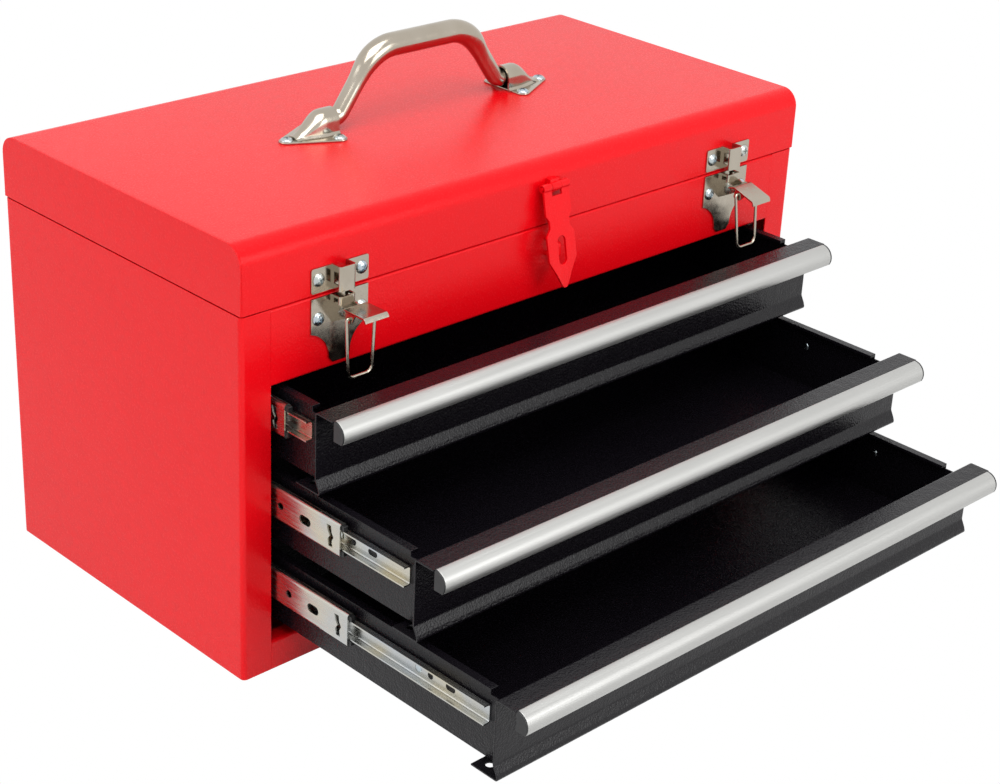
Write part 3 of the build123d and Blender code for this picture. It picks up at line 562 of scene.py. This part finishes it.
def screw_head():
    bpy.ops.mesh.primitive_uv_sphere_add(segments=36, ring_count=24, radius=1.0)
    head = bpy.context.object
    head.scale = (HEAD_R * MM, HEAD_R * MM, HEAD_H * MM)
    apply_place(head)
    for vertex in head.data.vertices:
        vertex.co.z = max(vertex.co.z, -0.3 * MM)
    cross = []
    for turn in (0, pi / 2):
        bpy.ops.mesh.primitive_cube_add(size=1.0, location=(0, 0, 0))
        blade = bpy.context.object
        blade.scale = (CROSS_LENGTH * MM, CROSS_WIDTH * MM, CROSS_TALL * MM)
        blade.location = (0, 0, CROSS_Z * MM)
        blade.rotation_euler = (0, 0, turn)
        apply_place(blade)
        cross.append(blade)
    shank = bar([(0.0, 0.0, -SHANK_L), (0.0, 0.0, 0.1)], [SHANK_R, SHANK_R], sides=4)
    return joined([cut(head, cross), shank])


def rivet_head():
    bpy.ops.mesh.primitive_uv_sphere_add(segments=24, ring_count=12, radius=1.0)
    dome = bpy.context.object
    dome.scale = (RIVET_R * MM, RIVET_R * MM, RIVET_H * MM)
    apply_place(dome)
    return dome


head = screw_head()
rivet = rivet_head()


def stamp(prototype, places, normal):
    """Copies of a piece, its Z axis turned to the normal, joined into one."""
    stand = Vector((0, 0, 1)).rotation_difference(Vector(normal)).to_matrix().to_4x4()
    copies = []
    for index, place in enumerate(places):
        copy = prototype.copy()
        copy.data = prototype.data.copy()
        bpy.context.scene.collection.objects.link(copy)
        spin = Matrix.Rotation(FIRST_TURN + index * TURN_STEP, 4, "Z")
        copy.matrix_world = Matrix.Translation(Vector(place) * MM) @ stand @ spin
        copies.append(copy)
    whole = joined(copies)
    apply_place(whole)
    return whole


FRONT_Y = -130.0
LATCH_X, SCREW_X, LATCH_T = 183.5, 17.3, 1.2
BASE_SCREW_Z, STRIKE_SCREW_Z = 242.5, 268.8
latch_xs = [side * LATCH_X + dx for side in (-1, 1) for dx in (-SCREW_X, SCREW_X)]
bracket_places = [(side * x, HANDLE_Y + y, LID_TOP + PLATE_T) for side in (-1, 1) for x, y in BRACKET_SCREWS]
finish_piece(stamp(head, bracket_places, (0, 0, 1)), "bracket_screw_heads", "handle_screws", screw_zinc)
finish_piece(stamp(head, [(x, FRONT_Y - LATCH_T, BASE_SCREW_Z) for x in latch_xs], (0, -1, 0)),
             "base_screw_heads", "cabinet_latch_screws", screw_zinc)
finish_piece(stamp(head, [(x, FRONT_Y - LATCH_T, STRIKE_SCREW_Z) for x in latch_xs], (0, -1, 0)),
             "strike_screw_heads", "lid_latch_screws", screw_zinc)

# %% [markdown]
# ## Draw latches
# Each lever is a stamped leaf with a turned-down lip and two ears; the wire bail hangs from its ears. The
# right one hangs lower than the left, as a loose latch does.

# %% Levers and bails
PIVOT_Y, PIVOT_Z = FRONT_Y - 12.5, 246.7
LEVER_HALF, LEVER_T, LEVER_REACH, LEVER_RISE, LEVER_LIP = 9.5, 1.3, 22.6, 4.8, 1.6
BAIL_TOP, BAIL_LOW, BAIL_DROP, WIRE_R = 11.6, 9.6, 40.6, 1.1
BAIL_INNER, BAIL_ARM = 7.4, 8.84              # half gap between the wire's ends, and pin to wire
CURL_HALF, CURL_R = 4.9, 2.7
HANGING = {"left": (0.0, 0.0, 5.2), "right": (18.0, 6.0, 16.0)}    # lever drop, bail swing, bail tilt


def turned(y, z, degrees):
    """A point of the YZ plane turned about the lever's pin."""
    angle = radians(degrees)
    dy, dz = y - PIVOT_Y, z - PIVOT_Z
    return (PIVOT_Y + dy * cos(angle) - dz * sin(angle), PIVOT_Z + dy * sin(angle) + dz * cos(angle))


for side_name, (drop, swing, tilt) in HANGING.items():
    centre_x = SIDES[side_name] * LATCH_X
    leaf_line = rounded([(PIVOT_Y + 1.4, PIVOT_Z + 1.8), (PIVOT_Y - 3.4, PIVOT_Z + LEVER_RISE),
                         (PIVOT_Y - LEVER_REACH, PIVOT_Z + LEVER_RISE),
                         (PIVOT_Y - LEVER_REACH - LEVER_LIP, PIVOT_Z + LEVER_RISE - 2.4)], [1.6, 1.4])
    leaf_line = [turned(y, z, drop) for y, z in leaf_line]
    leaf = folded_x(leaf_line, centre_x - LEVER_HALF, centre_x + LEVER_HALF, LEVER_T)
    parts = [leaf]
    ear_line = rounded([(PIVOT_Y - 4.8, PIVOT_Z + LEVER_RISE), (PIVOT_Y - 5.6, PIVOT_Z - 1.6),
                        (PIVOT_Y - 8.6, PIVOT_Z - 2.6), (PIVOT_Y - 11.4, PIVOT_Z - 1.2),
                        (PIVOT_Y - 14.5, PIVOT_Z + LEVER_RISE)], [2.0, 2.0, 2.0], steps=4)
    ear_line = [turned(y, z, drop) for y, z in ear_line]
    for ear in (-1, 1):
        ear_x = centre_x + ear * (LEVER_HALF - LEVER_T / 2)
        parts.append(blank(ear_line, "X", ear_x - LEVER_T / 2, ear_x + LEVER_T / 2))
    curl = [(centre_x - CURL_HALF, PIVOT_Y, PIVOT_Z), (centre_x + CURL_HALF, PIVOT_Y, PIVOT_Z)]
    parts.append(bar(curl, [CURL_R, CURL_R]))
    for number, part in enumerate(parts):
        finish_piece(part, f"{side_name}_lever_{number}", side_name + "_latch_lever", edge=0.18)
    hang_y, hang_z = turned(PIVOT_Y - BAIL_ARM * cos(radians(tilt)),
                            PIVOT_Z + BAIL_ARM * sin(radians(tilt)), drop)
    loop = rounded([(-BAIL_INNER, 0), (-BAIL_TOP, 0), (-BAIL_LOW, -BAIL_DROP), (BAIL_LOW, -BAIL_DROP),
                    (BAIL_TOP, 0), (BAIL_INNER, 0)], [1.5, 4.5, 4.5, 1.5])
    wire = [(centre_x + x, hang_y + z * sin(radians(swing)), hang_z + z * cos(radians(swing)))
            for x, z in loop]
    finish_piece(bar(wire, [WIRE_R] * len(wire), sides=6),
                 side_name + "_bail_wire", side_name + "_latch_bail")

# %% [markdown]
# ## Drawer fronts and pulls
# Each front is one folded strip: a flange under the pull, the face, a flared lip and a return with a
# paint hole near each end. The pull is a D-shaped extrusion, closed by a plastic cap at each end.

# %% Fronts, pulls and caps
FRONT_HALF, SHEET = 236.0, 1.2
FRONT_H, LIP_H, LIP_OUT, LIP_RETURN = 56.3, 10.0, 4.2, 19.5
PULL_REACH, PULL_R, PULL_HEIGHT, PULL_HALF, CAP_T = 24.3, 9.1, 14.0, 233.9, 1.2
OPEN_BY = {"drawer_1": 42.6, "drawer_2": 135.7, "drawer_3": 209.0}
LOW_Z = {"drawer_1": 148.4, "drawer_2": 87.8, "drawer_3": 27.2}
PAINT_HOLE, PAINT_HOLE_IN, PAINT_HOLE_BACK = 5.5, 8.2, 11.4


def pull_profile(face_y, top_z):
    """The D of the pull: a flat top, a round front and a vertical back."""
    centre_y, centre_z = face_y - PULL_REACH + PULL_R, top_z - PULL_R
    low = -asin((PULL_HEIGHT - PULL_R) / PULL_R)
    arc = [pi / 2 + (pi - low - pi / 2) * step / 24 for step in range(25)]
    return [(centre_y + PULL_R * cos(a), centre_z + PULL_R * sin(a)) for a in arc] + [
        (centre_y, top_z - PULL_HEIGHT)]


for drawer, opened in OPEN_BY.items():
    face_y, low_z = FRONT_Y - opened, LOW_Z[drawer]
    top_z = low_z + FRONT_H
    mid = SHEET / 2
    strip = rounded([(face_y - PULL_REACH + PULL_R - 0.1, top_z - mid), (face_y + mid, top_z - mid),
                     (face_y + mid, low_z + LIP_H), (face_y - LIP_OUT * 0.55, low_z + LIP_H * 0.45),
                     (face_y - LIP_OUT + mid, low_z + mid), (face_y + LIP_RETURN, low_z + mid)],
                    [1.6, 4.0, 3.0, 1.4])
    front = folded_x(strip, -FRONT_HALF, FRONT_HALF, SHEET)
    hole_places = [(side * (FRONT_HALF - PAINT_HOLE_IN), face_y + PAINT_HOLE_BACK) for side in (-1, 1)]
    cut(front, [blank(stadium(place, PAINT_HOLE, PAINT_HOLE), "Z", low_z - 1, low_z + 3)
                for place in hole_places])
    finish_piece(front, drawer + "_front_strip", drawer + "_front", edge=0.3)
    profile = pull_profile(face_y, top_z)
    pull = blank(profile, "X", -PULL_HALF, PULL_HALF)
    finish_piece(pull, drawer + "_pull_bar", drawer + "_pull", edge=0.5)
    caps = joined([blank(profile, "X", side * PULL_HALF, side * (PULL_HALF + CAP_T)) for side in (-1, 1)])
    finish_piece(caps, drawer + "_pull_ends", drawer + "_pull_caps", edge=0.4)

# %% [markdown]
# ## Ball-bearing slides
# The middle and inner members are rolled channels. Their webs carry the stop, slots and holes that the
# maker's tools leave, and a dark ball cage shows at the mouth of each middle member.

# %% Slide members
SLIDE_X, SLIDE_UP, RAIL_T = 237.3, 36.6, 1.0
MIDDLE_HALF, INNER_HALF, MIDDLE_LENGTH, INNER_LENGTH = 11.8, 6.9, 236.0, 236.0
MIDDLE_FRONT = {"drawer_1": -140.0, "drawer_2": -194.5, "drawer_3": -203.0}
INNER_INSET = 13.5
MIDDLE_X, TRAY_X = SLIDE_X - 2.7, SLIDE_X - 10.1
RIVET_AT = (63.0, 150.0)      # behind the front of the inner member
BEAD_UP, BEAD_R, BEAD_INSET = 8.0, 0.55, 3.0
ARROW = ((8.4, 7.4), (12.6, 7.4), (11.6, 3.0), (9.6, 0.0), (11.6, -3.0), (10.6, -7.4), (6.8, -7.4),
         (7.6, -3.0), (6.0, 0.0), (7.8, 3.0))         # the stop punched near the middle member's mouth
MIDDLE_SLOTS = ((33.7, 11.0, 6.2), (58.0, 5.4, 5.0), (205.0, 5.0, 5.0))    # place, length, height
INNER_SLOTS = ((34.0, 8.4, 4.4), (52.0, 4.8, 4.8), (190.0, 9.0, 4.6))
CAGE = ((-2.6, 7.2), (-2.6, 10.6), (7.0, 10.6), (7.0, 7.2), (-2.0, 7.2))


def rail(side, web_x, half, lip, curl, front_y, length, centre_z):
    """A rolled channel along Y with its web at web_x and its lips toward the middle of the box."""
    web, edge = side * (web_x - RAIL_T / 2), side * (web_x - lip + RAIL_T / 2)
    reach = half - RAIL_T / 2
    high, low = centre_z + reach, centre_z - reach
    line = [(edge, high), (web, high), (web, low), (edge, low)]
    radii = [1.6, 1.6]
    if curl:
        line = [(edge, high - curl)] + line + [(edge, low + curl)]
        radii = [1.6] * 4
    line = rounded(line, radii, steps=5)
    return skin([[(x, y, z) for x, z in line] for y in (front_y, front_y + length)], RAIL_T)


for drawer, opened in OPEN_BY.items():
    centre_z = LOW_Z[drawer] + SLIDE_UP
    for side_name, side in SIDES.items():
        label = f"{drawer}_{side_name}"
        start = MIDDLE_FRONT[drawer]
        web = side * MIDDLE_X
        middle = rail(side, MIDDLE_X, MIDDLE_HALF, 5.2, 3.4, start, MIDDLE_LENGTH, centre_z)
        holes = [[(start + y, centre_z + z) for y, z in ARROW]]
        holes += [stadium((start + y, centre_z), length, height) for y, length, height in MIDDLE_SLOTS]
        cut(middle, [blank(hole, "X", web - 4, web + 4) for hole in holes])
        finish_piece(middle, label + "_middle", label + "_middle_rail")
        bead_x = web - side * 1.25
        beads = [bar([(bead_x, start + BEAD_INSET, centre_z + up),
                      (bead_x, start + MIDDLE_LENGTH - BEAD_INSET, centre_z + up)], [BEAD_R, BEAD_R], sides=3)
                 for up in (-BEAD_UP, BEAD_UP)]
        finish_piece(joined(beads), label + "_beads", label + "_middle_rail", takes_over=False)
        cage = []
        for up in (-1, 1):
            outline = rounded([(start + y, centre_z + up * z) for y, z in CAGE], [0.8, 0.8, 0.8], steps=3)
            cage.append(blank(outline, "X", web - side * 4.4, web - side * 1.2))
        finish_piece(joined(cage), label + "_ball_cage", label + "_middle_rail", plastic, takes_over=False)
        first = FRONT_Y + INNER_INSET - opened
        inner = rail(side, TRAY_X + RAIL_T, INNER_HALF, -4.2, 0.0, first, INNER_LENGTH, centre_z)
        holes = [stadium((first + y, centre_z), length, height) for y, length, height in INNER_SLOTS]
        cut(inner, [blank(hole, "X", side * TRAY_X - 3, side * TRAY_X + 3) for hole in holes])
        finish_piece(inner, label + "_inner", label + "_inner_rail")
        places = [(side * (TRAY_X + RAIL_T), first + y, centre_z) for y in RIVET_AT]
        finish_piece(stamp(rivet, places, (side, 0, 0)), label + "_rivets", label + "_inner_rail", screw_zinc,
                     takes_over=False)
        if drawer != "drawer_1":
            place = (side * (TRAY_X - SHEET), first + RIVET_AT[0], centre_z)
            finish_piece(stamp(rivet, [place], (-side, 0, 0)), label + "_rivet_back",
                         drawer + "_tray", screw_zinc, takes_over=False)

for prototype in (head, rivet):
    bpy.data.objects.remove(prototype)

# %% [markdown]
# ## The view
# The camera's place was worked out from the box's own straight edges. It is given by its azimuth,
# elevation and roll, and the lens is a mild telephoto, so upright edges hardly converge.

# %% Camera
CAMERA_AT = Vector((-974.3, -1067.7, 779.4)) * MM
AZIMUTH, ELEVATION, ROLL = radians(-44.97), radians(25.65), radians(2.87)
LENS_MM = 76.86

back = Vector((sin(AZIMUTH) * cos(ELEVATION), -cos(AZIMUTH) * cos(ELEVATION), sin(ELEVATION)))
right = Vector((cos(AZIMUTH), sin(AZIMUTH), 0.0))
up = back.cross(right)
tilted_right = cos(ROLL) * right + sin(ROLL) * up
tilted_up = cos(ROLL) * up - sin(ROLL) * right
bpy.ops.object.camera_add()
camera = bpy.context.object
camera.name = "camera"
camera.data.lens = LENS_MM
camera.data.sensor_width = 36.0
camera.data.clip_end = 50.0
turn = Matrix((tilted_right, tilted_up, back)).transposed().to_4x4()
camera.matrix_world = Matrix.Translation(CAMERA_AT) @ turn
bpy.context.scene.camera = camera

# %% [markdown]
# A white ground comes from the materials, not from more light: what the camera or a mirror-like surface
# sees directly is plain white, while the lamps light the box at an even level. The floor therefore shows
# no shadow; it still throws the lamps' light back up at the box.

# %% Ground, world and lamps
def white_to_the_eye(tree, shader_output, surface_input, white_shader):
    """Show plain white to camera, glossy and transmission rays, and the given shader to all others."""
    path = tree.nodes.new("ShaderNodeLightPath")
    camera_or_glossy = tree.nodes.new("ShaderNodeMath")
    camera_or_glossy.operation = "MAXIMUM"
    any_direct = tree.nodes.new("ShaderNodeMath")
    any_direct.operation = "MAXIMUM"
    white = tree.nodes.new(white_shader)
    white.inputs["Color"].default_value = (1.0, 1.0, 1.0, 1.0)
    white.inputs["Strength"].default_value = 1.0
    mix = tree.nodes.new("ShaderNodeMixShader")
    tree.links.new(path.outputs["Is Camera Ray"], camera_or_glossy.inputs[0])
    tree.links.new(path.outputs["Is Glossy Ray"], camera_or_glossy.inputs[1])
    tree.links.new(camera_or_glossy.outputs["Value"], any_direct.inputs[0])
    tree.links.new(path.outputs["Is Transmission Ray"], any_direct.inputs[1])
    tree.links.new(any_direct.outputs["Value"], mix.inputs[0])
    tree.links.new(shader_output, mix.inputs[1])
    tree.links.new(white.outputs[0], mix.inputs[2])
    tree.links.new(mix.outputs["Shader"], surface_input)


world = bpy.data.worlds.new("studio")
bpy.context.scene.world = world
world.use_nodes = True
ambient = world.node_tree.nodes["Background"]
ambient.inputs["Color"].default_value = (1.0, 1.0, 1.0, 1.0)
ambient.inputs["Strength"].default_value = 0.55
world_output = world.node_tree.nodes["World Output"]
white_to_the_eye(world.node_tree, ambient.outputs["Background"], world_output.inputs["Surface"],
                 "ShaderNodeBackground")

deselect_all()
bpy.ops.mesh.primitive_plane_add(size=6.0, location=(0.0, 0.0, 0.0))
floor = bpy.context.object
floor.name = "floor"
apply_place(floor)
floor_paint, floor_nodes, _, floor_shader = new_finish("floor_paint", (0.92, 0.92, 0.92), 0.0, 0.9)
floor_output = floor_nodes["Material Output"].inputs["Surface"]
white_to_the_eye(floor_paint.node_tree, floor_shader.outputs["BSDF"], floor_output, "ShaderNodeEmission")
floor.data.materials.append(floor_paint)


def add_lamp(name, place, target, size, watts):
    """A white rectangular lamp at a place, facing a target; lengths in metres."""
    bpy.ops.object.light_add(type="AREA", location=place)
    lamp = bpy.context.object
    lamp.name = name
    lamp.data.shape = "RECTANGLE"
    lamp.data.size, lamp.data.size_y = size
    lamp.data.energy = watts
    lamp.rotation_euler = (Vector(target) - Vector(place)).to_track_quat("-Z", "Y").to_euler()
    return lamp


add_lamp("key", (-0.4, -0.7, 2.0), (0.0, 0.0, 0.2), (1.6, 1.6), 29.0)
add_lamp("side", (-2.0, 0.3, 0.9), (0.0, 0.0, 0.15), (1.2, 1.2), 8.0)
add_lamp("front", (0.6, -2.2, 0.9), (0.0, 0.0, 0.15), (1.2, 1.2), 14.0)
bpy.context.scene.view_settings.view_transform = "Standard"
